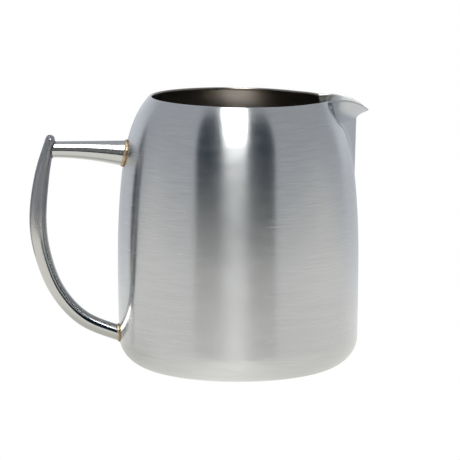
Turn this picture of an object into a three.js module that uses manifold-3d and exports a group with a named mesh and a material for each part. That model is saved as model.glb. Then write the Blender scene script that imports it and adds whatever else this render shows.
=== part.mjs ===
// A small stainless-steel cream jug: a necked-in barrel body, a V-shaped pouring
// spout welded over a notch in the shoulder, and a two-piece bar handle that is
// brazed together and brazed to the body.
//
// Millimetres, +Z up. The origin is the centre of the underside, on the body's
// axis. The spout points along +X, the handle along -X, and the XZ plane is the
// plane of symmetry.

import * as THREE from 'three';
import Module from 'manifold-3d';
import { ParametricGeometry } from 'three/addons/geometries/ParametricGeometry.js';
import { mergeVertices } from 'three/addons/utils/BufferGeometryUtils.js';

// ---- Driving dimensions ----------------------------------------------------

const SHEET = 1.0;              // thickness of the body and spout sheet
const JOINT_GAP = 0.3;          // clearance kept between pieces that touch

// Body
const BODY_RADIUS = 37.9;       // outer radius at the widest height
const WIDEST_Z = 35;
const RIM_Z = 84.95;            // end of the outer skin, just under the rim's crown
const BASE_FLAT_RADIUS = 26.8;  // flat part of the underside
const CORNER_HEIGHT = 9.6;      // height of the rounded bottom corner
const CORNER_RADIUS = 37.65;    // outer radius on top of the corner
const SHOULDER_LEAN = 4.86;     // inward lean of the upper body at the rim
const SHOULDER_TURN = 5.09;     // inward turn that is added close to the rim
const SHOULDER_TURN_POWER = 7;
const BODY_SEGMENTS = 64;
const CORNER_ROWS = 5;
const SIDE_ROWS = 12;
const SIDE_ROW_CROWDING = 1.5;  // above 1, rows crowd together towards the rim
const RIM_ROWS = 4;

// Mouth
const MOUTH_TILT = 0.0165;      // slope of the rim, down towards the spout
const MOUTH_TILT_START_Z = 75;
const MOUTH_PULL = 1.2;         // how far the rim is drawn out beside the spout
const MOUTH_PULL_START_Z = 77;
const MOUTH_PULL_ANGLE = THREE.MathUtils.degToRad(45);
const MOUTH_PULL_FULL_ANGLE = THREE.MathUtils.degToRad(24);

// Spout
const SPOUT_BOTTOM_Z = 62;
const KEEL_X = 36.85;           // keel at SPOUT_BOTTOM_Z
const KEEL_LEAN = 0.025;        // outward lean of the keel
const SPOUT_HALF_ANGLE = THREE.MathUtils.degToRad(60);
const SPOUT_HALF_WIDTH = 12;
const SPOUT_CORNER_HALF_WIDTH = 10.8;
const SPOUT_WIDEST_Z = 80;
const FLARE_START_Z = 77.8;     // where the lip starts to roll outward
const FLARE_POWER = 2.1;
const LIP_TIP = new THREE.Vector2(40.8, 0);
const LIP_NOSE = new THREE.Vector2(38.0, 6.2);
const LIP_SIDE = new THREE.Vector2(33.5, 9.6);
const LIP_LEVEL_X = 31;         // the lip is level up to here, and then drops
const LIP_DROP = 0.042;         // drop per square millimetre of reach
const LIP_TOP_Z = 84.45;
const SPOUT_COLUMNS = 12;
const SPOUT_ROWS = 14;
const SPOUT_EDGE_ROUND = 0.33;  // how far the sheet's rounded edge runs past its skins
const SPOUT_EDGE_STEP = 0.03;   // share of the height that gives the edge's direction
const SPOUT_INNER_SHARE = 0.25; // least width of the inner skin, as a share of the outer
const NOTCH_TOP_Z = RIM_Z + 10; // clear of the rim

// Handle arm
const ARM_TOP_Z = 71.8;         // its upper edge is level
const ARM_OUTER_X = -59.5;
const ARM_TAPER_START_X = -57.7;
const ARM_TAPER_END_X = -35;
const ARM_END_RADIUS = 2.55;
const ARM_FLARE = 1.6;
const ARM_FLARE_POWER = 1.8;
const ARM_FLARE_LIMIT = 1.1;    // the flare stops growing just inside the body
const ARM_INNER_X = -32;
const ARM_SIDES = 24;
const ARM_ROWS = 12;

// Handle grip: centreline in the XZ plane, from its top end to the body
const GRIP_CENTRELINE = new THREE.CatmullRomCurve3([
  new THREE.Vector3(-58.9, 0, 72.3),
  new THREE.Vector3(-61.6, 0, 60.7),
  new THREE.Vector3(-62.9, 0, 46.5),
  new THREE.Vector3(-61.5, 0, 36.2),
  new THREE.Vector3(-56.9, 0, 24.5),
  new THREE.Vector3(-48.9, 0, 15.6),
  new THREE.Vector3(-33.4, 0, 9.1),
], false, 'centripetal');
const GRIP_HALF_THICKNESS = 2.4;
const GRIP_SWELL = 0.3;
const GRIP_SWELL_AT = 0.36;
const GRIP_SWELL_LENGTH = 0.17;
const GRIP_TOP_THINNING = 0.9;
const GRIP_TOP_THINNING_LENGTH = 0.25;
const GRIP_TOP_HALF_WIDTH = 3.1;
const GRIP_BOTTOM_HALF_WIDTH = 2.6;
const GRIP_DOME = 1.5;          // height of the domed top end
const GRIP_SIDES = 16;
const GRIP_DOME_ROWS = 3;
const GRIP_ROWS = 22;

// Braze fillets
const BRAZE_REACH = 1.5;        // how far a fillet runs out along the bar
const BRAZE_HEIGHT = 0.75;      // how far it stands off the bar
const GRIP_BRAZE_REACH = 1.2;
const GRIP_BRAZE_HEIGHT = 0.75;

// ---- Solids ----------------------------------------------------------------

const wasm = await Module();
wasm.setup();

function toSolid(geometry) {
  const bare = geometry.clone();
  bare.deleteAttribute('normal');
  bare.deleteAttribute('uv');
  const merged = mergeVertices(bare, 1e-4);
  return new wasm.Manifold(new wasm.Mesh({
    numProp: 3,
    vertProperties: new Float32Array(merged.attributes.position.array),
    triVerts: new Uint32Array(merged.index.array),
  }));
}

function toGeometry(solid) {
  const mesh = solid.getMesh();
  const geometry = new THREE.BufferGeometry();
  geometry.setAttribute('position', new THREE.BufferAttribute(mesh.vertProperties, 3));
  geometry.setIndex(new THREE.BufferAttribute(mesh.triVerts, 1));
  geometry.computeVertexNormals();
  return geometry;
}

function lathe(profile) {
  return new THREE.LatheGeometry(profile, BODY_SEGMENTS).rotateX(Math.PI / 2);
}

// ---- Body shape ------------------------------------------------------------

function bodyRadius(z) {
  if (z <= WIDEST_Z) {
    const below = (WIDEST_Z - z) / (WIDEST_Z - CORNER_HEIGHT);
    return BODY_RADIUS - (BODY_RADIUS - CORNER_RADIUS) * below ** 2;
  }
  const above = (z - WIDEST_Z) / (RIM_Z - WIDEST_Z);
  return BODY_RADIUS - SHOULDER_LEAN * above ** 2 - SHOULDER_TURN * above ** SHOULDER_TURN_POWER;
}

// The outer skin from the underside to the rim, as (radius, height).
function outerSkin() {
  const points = [];
  for (let i = 0; i < CORNER_ROWS; i += 1) {
    const angle = (Math.PI / 2) * (i / CORNER_ROWS);
    points.push(new THREE.Vector2(
      BASE_FLAT_RADIUS + (CORNER_RADIUS - BASE_FLAT_RADIUS) * Math.sin(angle),
      CORNER_HEIGHT * (1 - Math.cos(angle)),
    ));
  }
  for (let i = 0; i <= SIDE_ROWS; i += 1) {
    const rise = 1 - (1 - i / SIDE_ROWS) ** SIDE_ROW_CROWDING;
    const z = CORNER_HEIGHT + (RIM_Z - CORNER_HEIGHT) * rise;
    points.push(new THREE.Vector2(bodyRadius(z), z));
  }
  return points;
}

// The same skin moved inward by a distance, square to itself.
function offsetSkin(skin, distance) {
  return skin.map((point, i) => {
    const before = skin[Math.max(i - 1, 0)];
    const after = skin[Math.min(i + 1, skin.length - 1)];
    const along = i === 0 ? new THREE.Vector2(1, 0) : after.clone().sub(before).normalize();
    return new THREE.Vector2(point.x - along.y * distance, point.y + along.x * distance);
  });
}

// The rim dips towards the spout, and is drawn out a little on both sides of it.
function mouthPull(angle, z) {
  const sideways = 1 - THREE.MathUtils.smoothstep(
    Math.abs(angle),
    MOUTH_PULL_FULL_ANGLE,
    MOUTH_PULL_ANGLE,
  );
  const height = Math.max(0, (z - MOUTH_PULL_START_Z) / (RIM_Z - MOUTH_PULL_START_Z));
  return MOUTH_PULL * sideways * height ** 2;
}

function mouthDip(x, z) {
  const height = (z - MOUTH_TILT_START_Z) / (RIM_Z - MOUTH_TILT_START_Z);
  return -x * MOUTH_TILT * THREE.MathUtils.clamp(height, 0, 1);
}

function shapeMouth(geometry) {
  const position = geometry.attributes.position;
  for (let i = 0; i < position.count; i += 1) {
    const x = position.getX(i);
    const y = position.getY(i);
    const z = position.getZ(i);
    const angle = Math.atan2(y, x);
    const radius = Math.hypot(x, y) + mouthPull(angle, z);
    position.setXYZ(i, radius * Math.cos(angle), radius * Math.sin(angle), z + mouthDip(x, z));
  }
  return geometry;
}

// The space that the body and what stands a distance off it take up, for
// trimming the pieces that meet the body.
function bodyEnvelope(distance) {
  const skin = offsetSkin(outerSkin(), -distance);
  const profile = [
    new THREE.Vector2(0, -distance),
    ...skin,
    new THREE.Vector2(0, RIM_Z + distance),
  ];
  return toSolid(lathe(profile));
}

// ---- Spout shape -----------------------------------------------------------

function keelX(z) {
  return KEEL_X + KEEL_LEAN * (z - SPOUT_BOTTOM_Z);
}

// Half the spout's width at the crease where its flat sides meet the body. The
// sides run back from the keel at the spout's half angle.
function creaseHalfWidth(z) {
  const keel = keelX(z);
  const radius = bodyRadius(z);
  const widening = Math.max(0, (z - SPOUT_WIDEST_Z) / (RIM_Z - SPOUT_WIDEST_Z));
  const limit = SPOUT_HALF_WIDTH - (SPOUT_HALF_WIDTH - SPOUT_CORNER_HALF_WIDTH) * widening ** 2;
  const a = 1 / Math.sin(SPOUT_HALF_ANGLE) ** 2;
  const b = (2 * keel) / Math.tan(SPOUT_HALF_ANGLE);
  const c = keel ** 2 - radius ** 2;
  const discriminant = b ** 2 - 4 * a * c;
  if (discriminant <= 0) {
    return limit;
  }
  return Math.min(limit, (b - Math.sqrt(discriminant)) / (2 * a));
}

function creaseX(halfWidth, z) {
  const angle = Math.asin(halfWidth / bodyRadius(z));
  const radius = bodyRadius(z) + mouthPull(angle, z);
  return Math.sqrt(radius ** 2 - halfWidth ** 2);
}

// The flat V below the lip: across runs from -1 at one crease to 1 at the other.
function wallPoint(across, z) {
  const halfWidth = creaseHalfWidth(z) - JOINT_GAP / 2;
  const back = creaseX(halfWidth, z);
  const share = Math.abs(across);
  return new THREE.Vector3(keelX(z) + (back - keelX(z)) * share, halfWidth * across, z);
}

// The pouring edge, seen from above an ogive from the tip to the rim's corner.
function lipPoint(across) {
  const cornerHalfWidth = SPOUT_CORNER_HALF_WIDTH - JOINT_GAP / 2;
  const corner = new THREE.Vector2(creaseX(cornerHalfWidth, RIM_Z), cornerHalfWidth);
  const plan = new THREE.CubicBezierCurve(LIP_TIP, LIP_NOSE, LIP_SIDE, corner);
  const point = plan.getPoint(Math.abs(across));
  const reach = Math.max(0, point.x - LIP_LEVEL_X);
  return new THREE.Vector3(
    point.x,
    point.y * Math.sign(across),
    LIP_TOP_Z - LIP_DROP * reach ** 2,
  );
}

// The spout's outer skin: height runs from 0 at the bottom to 1 at the lip.
function spoutSkin(across, height) {
  const lip = lipPoint(across);
  const z = SPOUT_BOTTOM_Z + (lip.z - SPOUT_BOTTOM_Z) * height;
  const wall = wallPoint(across, z);
  const roll = Math.max(0, (z - FLARE_START_Z) / (lip.z - FLARE_START_Z)) ** FLARE_POWER;
  const flare = lip.sub(wallPoint(across, lip.z)).multiplyScalar(roll);
  return wall.add(new THREE.Vector3(flare.x, flare.y, 0));
}

function spoutNormal(across, height) {
  const step = 1e-3;
  const side = across < 0 ? -1 : 1;
  const up = spoutSkin(across, height + step).sub(spoutSkin(across, height - step));
  const inward = side * Math.min(Math.abs(across), 1 - step);
  const sideways = spoutSkin(inward + side * step, height).sub(spoutSkin(inward, height));
  const normal = sideways.multiplyScalar(side).cross(up).normalize();
  if (across === 0) {
    normal.y = 0;
    normal.normalize();
  }
  return normal;
}

// ---- Bars ------------------------------------------------------------------

// A round or oval bar that follows a centreline in the XZ plane. section(t)
// gives the centre, the direction along the bar and the two half sizes at t.
function bar(section, sides, rows) {
  const point = (u, v, target) => {
    const angle = 2 * Math.PI * u;
    const { centre, along, thick, wide } = section(Math.round(v * rows) / rows);
    target.set(
      centre.x + along.z * thick * Math.cos(angle),
      wide * Math.sin(angle),
      centre.z - along.x * thick * Math.cos(angle),
    );
  };
  return toSolid(new ParametricGeometry(point, sides, rows));
}

function armRadius(x) {
  const share = (x - ARM_TAPER_START_X) / (ARM_TAPER_END_X - ARM_TAPER_START_X);
  return ARM_END_RADIUS + ARM_FLARE * THREE.MathUtils.clamp(share, 0, ARM_FLARE_LIMIT) ** ARM_FLARE_POWER;
}

function armBar(swell) {
  const section = (t) => {
    const inner = THREE.MathUtils.clamp((t * ARM_ROWS - 1) / (ARM_ROWS - 2), 0, 1);
    const x = ARM_OUTER_X + (ARM_INNER_X - ARM_OUTER_X) * inner;
    const closed = t === 0 || t === 1;
    const radius = closed ? 0 : armRadius(x) + swell;
    return {
      centre: new THREE.Vector3(x, 0, ARM_TOP_Z - armRadius(x)),
      along: new THREE.Vector3(1, 0, 0),
      thick: radius,
      wide: radius,
    };
  };
  return bar(section, ARM_SIDES, ARM_ROWS);
}

function gripHalfThickness(t) {
  const swell = GRIP_SWELL * Math.exp(-(((t - GRIP_SWELL_AT) / GRIP_SWELL_LENGTH) ** 2));
  const thinning = GRIP_TOP_THINNING * Math.max(0, 1 - t / GRIP_TOP_THINNING_LENGTH) ** 2;
  return GRIP_HALF_THICKNESS + swell - thinning;
}

function gripBar(swell) {
  const rows = GRIP_DOME_ROWS + GRIP_ROWS + 1;
  const section = (v) => {
    const row = Math.round(v * rows);
    const t = THREE.MathUtils.clamp((row - GRIP_DOME_ROWS) / GRIP_ROWS, 0, 1);
    const along = GRIP_CENTRELINE.getTangentAt(t);
    const centre = GRIP_CENTRELINE.getPointAt(t);
    let share = row === rows ? 0 : 1;
    if (row < GRIP_DOME_ROWS) {
      const rise = Math.cos((Math.PI / 2) * (row / GRIP_DOME_ROWS));
      centre.addScaledVector(along, -(GRIP_DOME + swell) * rise);
      share = Math.sqrt(1 - rise ** 2);
    }
    const wide = THREE.MathUtils.lerp(GRIP_TOP_HALF_WIDTH, GRIP_BOTTOM_HALF_WIDTH, t);
    return {
      centre,
      along,
      thick: (gripHalfThickness(t) + swell) * share,
      wide: (wide + swell) * share,
    };
  };
  return bar(section, GRIP_SIDES, rows);
}

// ---- Pieces ----------------------------------------------------------------

function addPiece(name, solid, colour, roughness) {
  const material = new THREE.MeshStandardMaterial({ color: colour, roughness, metalness: 1 });
  const mesh = new THREE.Mesh(toGeometry(solid), material);
  mesh.name = name;
  jug.add(mesh);
}

const SATIN_STEEL = 0xb9bcc0;
const POLISHED_STEEL = 0xc8cacd;
const BRAZE_GOLD = 0xb99a6a;

const jug = new THREE.Group();

function makeBodyShell() {
  const outer = outerSkin();
  const inner = offsetSkin(outer, SHEET);
  const lip = outer[outer.length - 1];
  const lipInner = inner[inner.length - 1];
  const centre = lip.clone().add(lipInner).multiplyScalar(0.5);
  const start = Math.atan2(lip.y - centre.y, lip.x - centre.x);
  const rim = [];
  for (let i = 1; i < RIM_ROWS; i += 1) {
    const angle = start + Math.PI * (i / RIM_ROWS);
    rim.push(new THREE.Vector2(
      centre.x + (SHEET / 2) * Math.cos(angle),
      centre.y + (SHEET / 2) * Math.sin(angle),
    ));
  }
  outer[0].x += JOINT_GAP / 2;
  inner[0].x += JOINT_GAP / 2;
  const profile = [...outer, ...rim, ...inner.reverse(), outer[0].clone()];
  const shell = toSolid(shapeMouth(lathe(profile)));
  return shell.subtract(spoutNotch());
}

// The V-shaped notch in the shoulder that the spout stands in. Its edge turns at
// the heights of the spout's own rows, so the gap between them is even.
function spoutNotch() {
  const bottom = SPOUT_BOTTOM_Z - SPOUT_EDGE_ROUND - JOINT_GAP;
  const edge = [new THREE.Vector2(creaseHalfWidth(SPOUT_BOTTOM_Z) + JOINT_GAP / 2, bottom)];
  for (let i = 0; i <= SPOUT_ROWS; i += 1) {
    const z = THREE.MathUtils.lerp(SPOUT_BOTTOM_Z, LIP_TOP_Z, i / SPOUT_ROWS);
    edge.push(new THREE.Vector2(creaseHalfWidth(z) + JOINT_GAP / 2, z));
  }
  edge.push(new THREE.Vector2(SPOUT_CORNER_HALF_WIDTH + JOINT_GAP / 2, NOTCH_TOP_Z));
  const mirrored = edge.map((p) => new THREE.Vector2(-p.x, p.y)).reverse();
  const nearX = BODY_RADIUS / 2;
  const cut = new THREE.ExtrudeGeometry(new THREE.Shape([...edge, ...mirrored]), {
    depth: BODY_RADIUS,
    bevelEnabled: false,
  });
  const axes = new THREE.Matrix4().makeBasis(
    new THREE.Vector3(0, 1, 0),
    new THREE.Vector3(0, 0, 1),
    new THREE.Vector3(1, 0, 0),
  );
  return toSolid(cut.applyMatrix4(axes).translate(nearX, 0, 0));
}

// The spout is one sheet. Its loops run along the outer skin and back along the
// inner skin, and close to a line at the bottom and to a rounded crown at the lip.
function makeSpout() {
  const loop = 2 * SPOUT_COLUMNS + 2;
  const rows = SPOUT_ROWS + 2;
  const point = (u, v, target) => {
    const column = Math.round(u * loop) % loop;
    const row = Math.round(v * rows);
    const isInner = column > SPOUT_COLUMNS;
    const index = isInner ? loop - 1 - column : column;
    const across = -1 + (2 * index) / SPOUT_COLUMNS;
    const height = THREE.MathUtils.clamp((row - 1) / SPOUT_ROWS, 0, 1);
    const closed = row === 0 || row === rows;
    const depth = closed ? SHEET / 2 : SHEET * Number(isInner);
    const skin = spoutSkin(across, height);
    target.copy(skin).addScaledVector(spoutNormal(across, height), -depth);
    const side = Math.sign(across);
    target.y = side * Math.max(side * target.y, side * skin.y * SPOUT_INNER_SHARE);
    if (closed) {
      const inside = spoutSkin(across, height === 1 ? 1 - SPOUT_EDGE_STEP : SPOUT_EDGE_STEP);
      target.addScaledVector(skin.sub(inside).normalize(), SPOUT_EDGE_ROUND);
    }
  };
  return toSolid(new ParametricGeometry(point, loop, rows));
}

function makeBasePlate() {
  const radius = BASE_FLAT_RADIUS - JOINT_GAP / 2;
  const disc = new THREE.CylinderGeometry(radius, radius, SHEET, BODY_SEGMENTS);
  return toSolid(disc.rotateX(Math.PI / 2).translate(0, 0, SHEET / 2));
}

const bodyClearance = bodyEnvelope(JOINT_GAP);
const bodyBrazeZone = bodyEnvelope(BRAZE_REACH);
const armClearance = armBar(JOINT_GAP);
const gripClearance = gripBar(JOINT_GAP);

function makeHandleArm() {
  return armBar(0).subtract(gripClearance).subtract(bodyClearance);
}

function makeHandleGrip() {
  return gripBar(0).subtract(bodyClearance);
}

function makeUpperBraze() {
  const zone = armBar(BRAZE_HEIGHT).intersect(bodyBrazeZone);
  return zone.subtract(bodyClearance).subtract(armClearance);
}

function makeLowerBraze() {
  const zone = gripBar(BRAZE_HEIGHT).intersect(bodyBrazeZone);
  return zone.subtract(bodyClearance).subtract(gripClearance);
}

function makeGripBraze() {
  const zone = armBar(GRIP_BRAZE_HEIGHT).intersect(gripBar(GRIP_BRAZE_REACH));
  return zone.subtract(gripClearance).subtract(armClearance);
}

addPiece('body_shell', makeBodyShell(), SATIN_STEEL, 0.35);
addPiece('base_plate', makeBasePlate(), SATIN_STEEL, 0.35);
addPiece('spout', makeSpout(), SATIN_STEEL, 0.3);
addPiece('handle_arm', makeHandleArm(), POLISHED_STEEL, 0.08);
addPiece('handle_grip', makeHandleGrip(), POLISHED_STEEL, 0.15);
addPiece('braze_arm_to_body', makeUpperBraze(), BRAZE_GOLD, 0.35);
addPiece('braze_grip_to_body', makeLowerBraze(), BRAZE_GOLD, 0.35);
addPiece('braze_arm_to_grip', makeGripBraze(), BRAZE_GOLD, 0.35);

export default jug;
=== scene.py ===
"""A small steel cream jug: satin body and V-shaped spout, polished brazed handle.

Shapes are worked out in millimetres in the frame of the CAD part (+Z up, spout
along +X, handle along -X) and turned into metres when a mesh is made.
"""

import math

import bmesh
import bpy
import numpy as np
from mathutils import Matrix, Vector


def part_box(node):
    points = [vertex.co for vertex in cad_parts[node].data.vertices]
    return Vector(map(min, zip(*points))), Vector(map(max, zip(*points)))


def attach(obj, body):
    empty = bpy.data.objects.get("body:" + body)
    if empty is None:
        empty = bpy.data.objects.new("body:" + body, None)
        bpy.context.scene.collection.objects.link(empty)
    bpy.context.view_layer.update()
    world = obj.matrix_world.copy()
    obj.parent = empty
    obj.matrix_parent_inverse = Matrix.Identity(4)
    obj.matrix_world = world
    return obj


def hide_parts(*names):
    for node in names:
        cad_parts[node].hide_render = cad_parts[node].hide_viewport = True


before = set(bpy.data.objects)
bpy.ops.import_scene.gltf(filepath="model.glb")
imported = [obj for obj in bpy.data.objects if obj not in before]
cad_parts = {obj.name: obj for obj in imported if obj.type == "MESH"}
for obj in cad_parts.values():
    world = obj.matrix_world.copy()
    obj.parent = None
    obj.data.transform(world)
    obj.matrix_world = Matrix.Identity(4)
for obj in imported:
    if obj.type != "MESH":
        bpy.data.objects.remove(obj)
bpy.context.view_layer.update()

# ---- Driving dimensions, in millimetres --------------------------------------

MM = 0.001


def node_box(node):
    """A CAD node's lowest and highest corners, in millimetres."""
    low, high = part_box(node)
    return np.array(low) / MM, np.array(high) / MM


SHEET = node_box("base_plate")[1][2]

# Body
BODY_RADIUS = node_box("body_shell")[1][1]
WIDEST_Z = 35.0
RIM_Z = 84.95
BASE_FLAT_RADIUS = node_box("base_plate")[1][0]
CORNER_HEIGHT = 9.6
SIDE_TAPER = 0.25
CORNER_RADIUS = BODY_RADIUS - SIDE_TAPER
SHOULDER_LEAN = 4.86
SHOULDER_TURN = 5.09
SHOULDER_TURN_POWER = 7
MOUTH_TILT = 0.0165
MOUTH_TILT_START_Z = 75.0
MOUTH_PULL = 1.2
MOUTH_PULL_START_Z = 77.0
MOUTH_PULL_ANGLE = math.radians(45)
MOUTH_PULL_FULL_ANGLE = math.radians(24)

# Spout
KEEL_X = 36.85
KEEL_Z = 62.0
KEEL_LEAN = 0.025
KEEL_ROUND = 0.9
KEEL_SEARCH_Z = 50.0
KEEL_SEARCH_STEPS = 4001
SPOUT_HALF_ANGLE = math.radians(60)
SPOUT_HALF_WIDTH = 12.0
SPOUT_CORNER_HALF_WIDTH = 10.8
SPOUT_WIDEST_Z = 80.0
FLARE_START_Z = 77.8
FLARE_POWER = 2.1
TIP_INSET = 0.1
LIP_TIP = np.array([node_box("spout")[1][0] - TIP_INSET, 0.0])
LIP_NOSE = np.array([38.0, 6.2])
LIP_SIDE = np.array([33.5, 9.6])
LIP_LEVEL_X = 31.0
LIP_DROP = 0.042
LIP_TOP_Z = 84.45
LIP_SHEET = 0.7
LIP_THINS_FROM = 0.72
LIP_THINNING_POWER = 6

# The weld line between spout and body is a shallow groove. It deepens over a stretch
# above the spout's pointed end, and fades out over a stretch below the rim.
SEAM_DEPTH = 0.42
SEAM_WIDTH = 0.34
SEAM_DEEPENS = (1, 9)
SEAM_FADES = (0, 2)

# The body's skin follows the spout's edge up to this far from it, and an inner skin
# keeps this share of its outer skin's distance from the XZ plane
EDGE_BLEND = 7
SIDE_SHARE = 0.25

# Rows and columns of the body and spout. The columns beside their common edge stand
# at these distances from it, so that the groove is round, and the next column stands
# this many times as far from it as the last of them.
CORNER_ROWS = 26
SIDE_ROWS = 64
SPOUT_ROWS = 72
SPOUT_FIRST_ROW = CORNER_ROWS + SIDE_ROWS
ROW_CROWDING = 1.4
BODY_COLUMNS = 288
SPOUT_COLUMNS = 97
SEAM_COLUMNS = (0.0, 0.1, 0.2, 0.32, 0.48, 0.7)
BODY_NEXT_COLUMN = 1.7
SPOUT_NEXT_COLUMN = 1.6
RIM_STEPS = 10

# The body's first and last columns meet the spout's last and first columns
EDGES = ((0, -1), (-1, 0))

# Handle. A bar's lines meet the body or the other bar between the two places given,
# which are X for the arm and the share of its length for the grip.
ARM_TOP_Z = node_box("handle_arm")[1][2]
ARM_TAPER_START_X = -57.7
ARM_TAPER_END_X = -35.0
ARM_END_RADIUS = 2.55
ARM_FLARE = 1.6
ARM_FLARE_LIMIT = 1.1
ARM_FLARE_POWER = 1.8
ARM_BURIED = 1.6
ARM_MEETS_BODY = (-42.0, -30.0)
ARM_MEETS_GRIP = (-60.0, -50.0)
GRIP_POINTS = np.array([
    (-58.9, 72.3),
    (-61.6, 60.7),
    (-62.9, 46.5),
    (-61.5, 36.2),
    (-56.9, 24.5),
    (-48.9, 15.6),
    (-33.4, 9.1),
])
GRIP_HALF_THICKNESS = 2.4
GRIP_SWELL = 0.3
GRIP_SWELL_AT = 0.36
GRIP_SWELL_LENGTH = 0.17
GRIP_TOP_THINNING = 0.9
GRIP_TOP_THINNING_LENGTH = 0.25
GRIP_TOP_HALF_WIDTH = node_box("handle_grip")[1][1]
GRIP_BOTTOM_HALF_WIDTH = 2.6
GRIP_DOME = 1.5
GRIP_DOME_POWER = 0.8
GRIP_DOME_LENGTH = (-2, -0.1)
GRIP_MEETS_BODY = (0.8, 1.0)
GRIP_MEETS_ARM = 0.3
GRIP_MEETS_ARM_STEPS = 400
GRIP_FLATTEST = 0.02
BISECTIONS = 40

# How deep bars and beads reach into what they are joined to
EMBED = 0.4

# Beads of braze: how far a bead's size varies round it, how far its edges sink in,
# and the small steps that its directions are measured over
BEAD_COLUMNS = 120
BEAD_STEPS = 12
BEAD_REACH_VARIES = 0.05
BEAD_STAND_OFF_VARIES = 0.06
BEAD_EDGE_SINK = 0.08
BACK_STEP_SHARE = 0.002
SLOPE_STEP = 0.05
GRIP_BEAD_COLUMNS = 96
GRIP_BEAD_STEPS = 10
GRIP_BEAD_REACH = 0.4
GRIP_BEAD_STAND_OFF = 0.25
GRIP_BEAD_VARIES = 0.06
GRIP_BEAD_LEAN = 0.35
GRIP_BEAD_POWER = 1.6
GRIP_BEAD_SEED = 31

# ---- Mesh helpers ------------------------------------------------------------

# Points nearer to each other than this, in metres, become one
MERGE_DISTANCE = 1e-7


def smoothstep(value, low, high):
    """A smooth rise from 0 at low to 1 at high."""
    share = np.clip((value - low) / (high - low), 0, 1)
    return share * share * (3 - 2 * share)


def unit(vectors):
    """The vectors at length 1."""
    length = np.linalg.norm(vectors, axis=-1, keepdims=True)
    return vectors / np.maximum(length, 1e-12)


def quads(index):
    """Quads between the neighbours of a grid of point numbers."""
    corners = (index[:-1, :-1], index[:-1, 1:], index[1:, 1:], index[1:, :-1])
    return np.stack(corners, axis=-1).reshape(-1, 4).tolist()


def add_piece(name, node, points, faces, uv, materials, interior=None, sharp=40):
    """A closed mesh in metres that rides on the jug and stands for a CAD node. Faces
    between interior points take the second material, and edges that turn by more than
    sharp degrees stay sharp."""
    mesh = bpy.data.meshes.new(name)
    mesh.from_pydata((np.asarray(points) * MM).tolist(), [], faces)
    layer = mesh.uv_layers.new(name="UVMap")
    corner = np.zeros(len(mesh.loops), int)
    mesh.loops.foreach_get("vertex_index", corner)
    layer.data.foreach_set("uv", np.asarray(uv, np.float32)[corner].ravel())
    for material in materials:
        mesh.materials.append(material)
    if interior is not None:
        inside = [int(all(interior[v] for v in face)) for face in faces]
        mesh.polygons.foreach_set("material_index", inside)
    work = bmesh.new()
    work.from_mesh(mesh)
    bmesh.ops.remove_doubles(work, verts=work.verts, dist=MERGE_DISTANCE)
    bmesh.ops.dissolve_degenerate(work, edges=work.edges, dist=MERGE_DISTANCE)
    bmesh.ops.recalc_face_normals(work, faces=work.faces)
    work.to_mesh(mesh)
    work.free()
    mesh.shade_smooth()
    mesh.set_sharp_from_angle(angle=math.radians(sharp))
    piece = bpy.data.objects.new(name, mesh)
    bpy.context.scene.collection.objects.link(piece)
    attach(piece, "root")
    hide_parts(node)


def grid_normals(points):
    """Outward normals of a grid whose rows go up and whose columns go anticlockwise."""
    up = np.gradient(points, axis=0, edge_order=2)
    around = np.gradient(points, axis=1, edge_order=2)
    return unit(np.cross(around, up))


def sheet_mesh(outer, inner, rim, capped_from):
    """Points and faces of a sheet with a rounded upper edge. Its sides are capped
    from a row upward; below that row its first and last columns meet."""
    rows, columns = outer.shape[:2]
    points = np.concatenate([outer.reshape(-1, 3), rim.reshape(-1, 3), inner[::-1].reshape(-1, 3)])
    total = 2 * rows + len(rim)
    index = np.arange(total * columns).reshape(total, columns)
    faces = quads(np.vstack([index, index[:1]]))
    for side in (0, -1):
        edge = index[:, side]
        for row in range(capped_from, rows - 1):
            faces.append([edge[row], edge[row + 1], edge[total - 2 - row], edge[total - 1 - row]])
        faces.append(list(edge[rows - 1:total - rows + 1]))
    faces = [[int(v) for v in face] for face in faces]
    interior = np.arange(total * columns) >= (rows + len(rim) // 2) * columns
    return points, faces, interior


# ---- Body and spout ----------------------------------------------------------


def body_radius(z):
    """Radius of the body's side and shoulder."""
    below = np.clip((WIDEST_Z - z) / (WIDEST_Z - CORNER_HEIGHT), 0, 1)
    above = np.clip((z - WIDEST_Z) / (RIM_Z - WIDEST_Z), 0, 1)
    lean = SHOULDER_LEAN * above**2 + SHOULDER_TURN * above**SHOULDER_TURN_POWER
    return BODY_RADIUS - (BODY_RADIUS - CORNER_RADIUS) * below**2 - lean


def outer_radius(z):
    """Radius of the outer skin at any height, its rounded bottom corner included."""
    drop = np.clip(1 - z / CORNER_HEIGHT, 0, 1)
    corner = BASE_FLAT_RADIUS + (CORNER_RADIUS - BASE_FLAT_RADIUS) * np.sqrt(1 - drop**2)
    return np.where(z < CORNER_HEIGHT, corner, body_radius(z))


def mouth_pull(angle, z):
    """How far the rim is drawn out on the side of the spout."""
    sideways = 1 - smoothstep(np.abs(angle), MOUTH_PULL_FULL_ANGLE, MOUTH_PULL_ANGLE)
    height = np.maximum(0, (z - MOUTH_PULL_START_Z) / (RIM_Z - MOUTH_PULL_START_Z))
    return MOUTH_PULL * sideways * height**2


def mouth_dip(x, z):
    """The change of height that tilts the mouth down towards the spout."""
    height = np.clip((z - MOUTH_TILT_START_Z) / (RIM_Z - MOUTH_TILT_START_Z), 0, 1)
    return -x * MOUTH_TILT * height


def keel_x(z):
    """Where the spout's front edge stands below its lip."""
    return KEEL_X + KEEL_LEAN * (z - KEEL_Z)


def find_spout_start():
    """The height at which the spout's keel comes out of the body."""
    z = np.linspace(KEEL_SEARCH_Z, KEEL_Z, KEEL_SEARCH_STEPS)
    return float(z[np.argmax(keel_x(z) > body_radius(z))])


SPOUT_START_Z = find_spout_start()


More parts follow.
